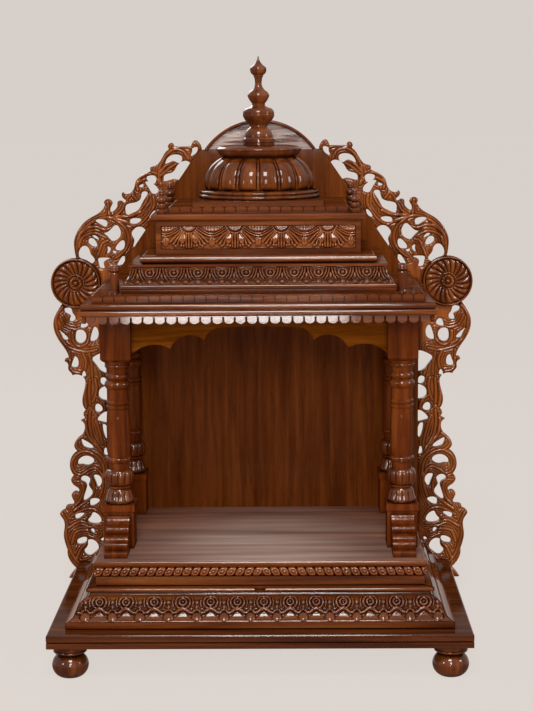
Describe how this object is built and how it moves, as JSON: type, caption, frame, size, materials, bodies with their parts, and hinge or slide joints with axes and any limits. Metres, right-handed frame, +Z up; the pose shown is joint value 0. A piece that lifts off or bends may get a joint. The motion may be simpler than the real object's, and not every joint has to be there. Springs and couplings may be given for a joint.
{
  "type": "home shrine cabinet",
  "caption": "Carved wooden home shrine with an open front on turned pillars, a stepped roof with a ribbed dome, pierced scroll wings and a shallow drawer in its moulded base.",
  "frame": {"origin": "floor level, in the middle of the object's width and depth", "axes": "+X to the right seen from the front, +Y from the open front to the back, +Z up"},
  "size_m": [0.848, 0.5, 1.1055],
  "materials": {
    "carved_teak": "gloss lacquer",
    "golden_teak": "satin lacquer",
    "panel_teak": "gloss lacquer",
    "plain_teak": "plain sanded"
  },
  "bodies": {
    "shrine": {"arch_board": "golden_teak", "back_board": "panel_teak", "base_moulding_left": "carved_teak", "base_moulding_right": "carved_teak", "base_slab": "carved_teak", "box_tier": "carved_teak", "console_left": "carved_teak", "console_right": "carved_teak", "corner_finial_left": "carved_teak", "corner_finial_right": "carved_teak", "crest_board": "carved_teak", "deck": "carved_teak", "dentil_tier": "carved_teak", "dome": "carved_teak", "dome_disc": "carved_teak", "dome_plinth": "carved_teak", "eave": "carved_teak", "finial": "carved_teak", "floor_board": "panel_teak", "foot_front_left": "carved_teak", "foot_front_right": "carved_teak", "foot_rear_left": "carved_teak", "foot_rear_right": "carved_teak", "frieze_tier": "carved_teak", "knob_front_left": "carved_teak", "knob_front_right": "carved_teak", "knob_rear_left": "carved_teak", "knob_rear_right": "carved_teak", "pillar_front_left": "carved_teak", "pillar_front_right": "carved_teak", "pillar_rear_left": "carved_teak", "pillar_rear_right": "carved_teak", "platform": "carved_teak", "rope_moulding": "carved_teak", "rosette_left": "carved_teak", "rosette_right": "carved_teak", "trim_front": "carved_teak", "trim_left": "carved_teak", "trim_right": "carved_teak", "wing_lower_left": "carved_teak", "wing_lower_right": "carved_teak", "wing_upper_left": "carved_teak", "wing_upper_right": "carved_teak"},
    "drawer": {"drawer_front": "carved_teak", "drawer_tray": "plain_teak"}
  },
  "joints": [
    {"name": "drawer_slide", "type": "slide", "parent": "shrine", "child": "drawer", "axis": [0, -1, 0], "range_m": [0, 0.26]}
  ]
}
